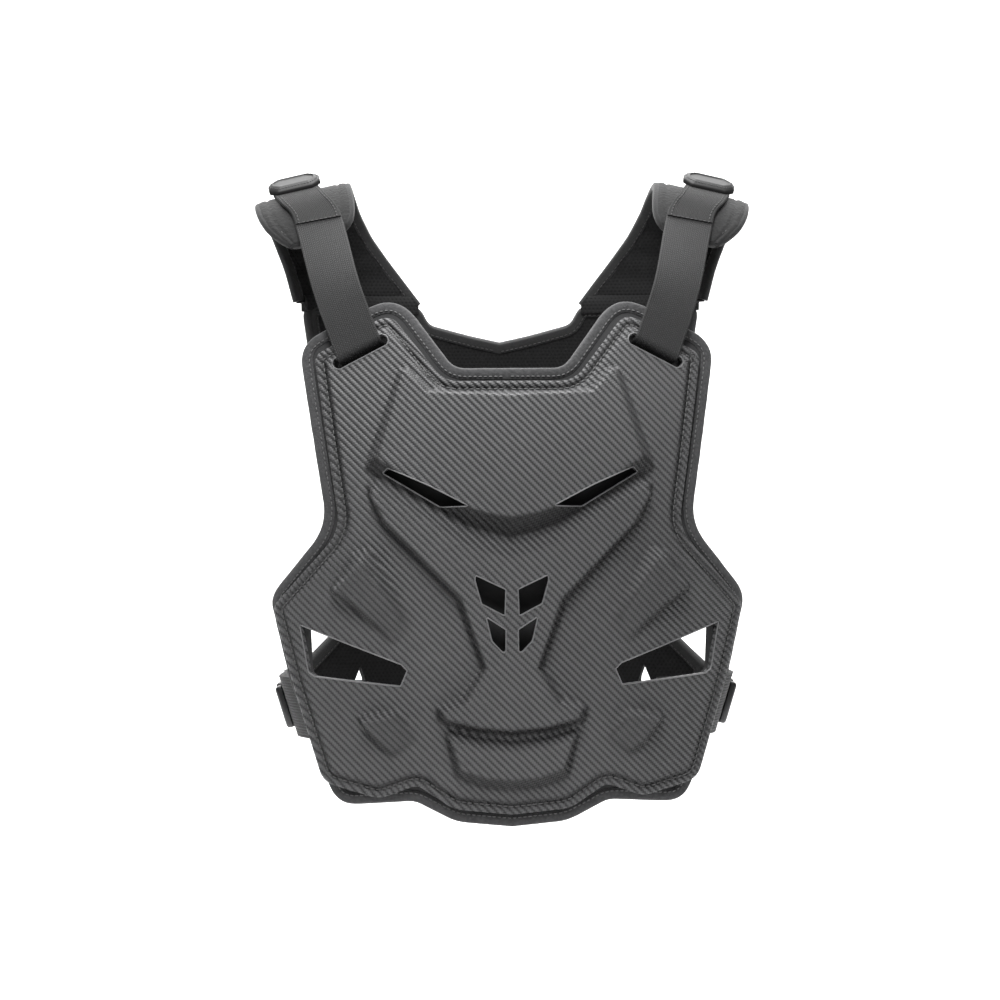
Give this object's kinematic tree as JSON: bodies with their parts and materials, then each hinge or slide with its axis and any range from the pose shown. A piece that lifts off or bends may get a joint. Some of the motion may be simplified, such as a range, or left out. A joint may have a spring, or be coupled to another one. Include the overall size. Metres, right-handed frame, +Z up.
{
  "type": "motorcycle armour vest",
  "caption": "Black motorcycle armour vest with a moulded carbon-look chest plate, foam pads, webbing shoulder straps and elastic waist belts.",
  "frame": {"origin": "midway between the two shoulders, level with the underside of the yokes where they rest on them", "axes": "+Z up to the shoulders, -Y out through the front plate, +X to the viewer's right as seen from the front"},
  "size_m": [0.404, 0.2491, 0.5201],
  "materials": {
    "shell_plastic": "satin carbon-look texture",
    "pad_fabric": "matt knit over foam",
    "edge_tape": "fuzzy edge tape, stitched",
    "loop_fabric": "loop pile",
    "webbing": "woven webbing",
    "tab_rubber": "matt moulded rubber",
    "elastic": "ribbed elastic",
    "buckle_plastic": "satin moulded"
  },
  "bodies": {
    "root": {"front_shell": "shell_plastic", "front_pad": "pad_fabric", "front_binding": "edge_tape", "back_shell": "shell_plastic", "back_pad": "pad_fabric", "back_binding": "edge_tape", "shoulder_yoke_left": "pad_fabric", "shoulder_yoke_right": "pad_fabric", "yoke_patch_left": "loop_fabric", "yoke_patch_right": "loop_fabric", "shoulder_strap_left": "webbing", "shoulder_strap_right": "webbing", "strap_tab_left": "tab_rubber", "strap_tab_right": "tab_rubber", "waist_belt_left": "elastic", "waist_belt_right": "elastic", "belt_buckle_left": "buckle_plastic", "belt_buckle_right": "buckle_plastic"}
  },
  "joints": []
}
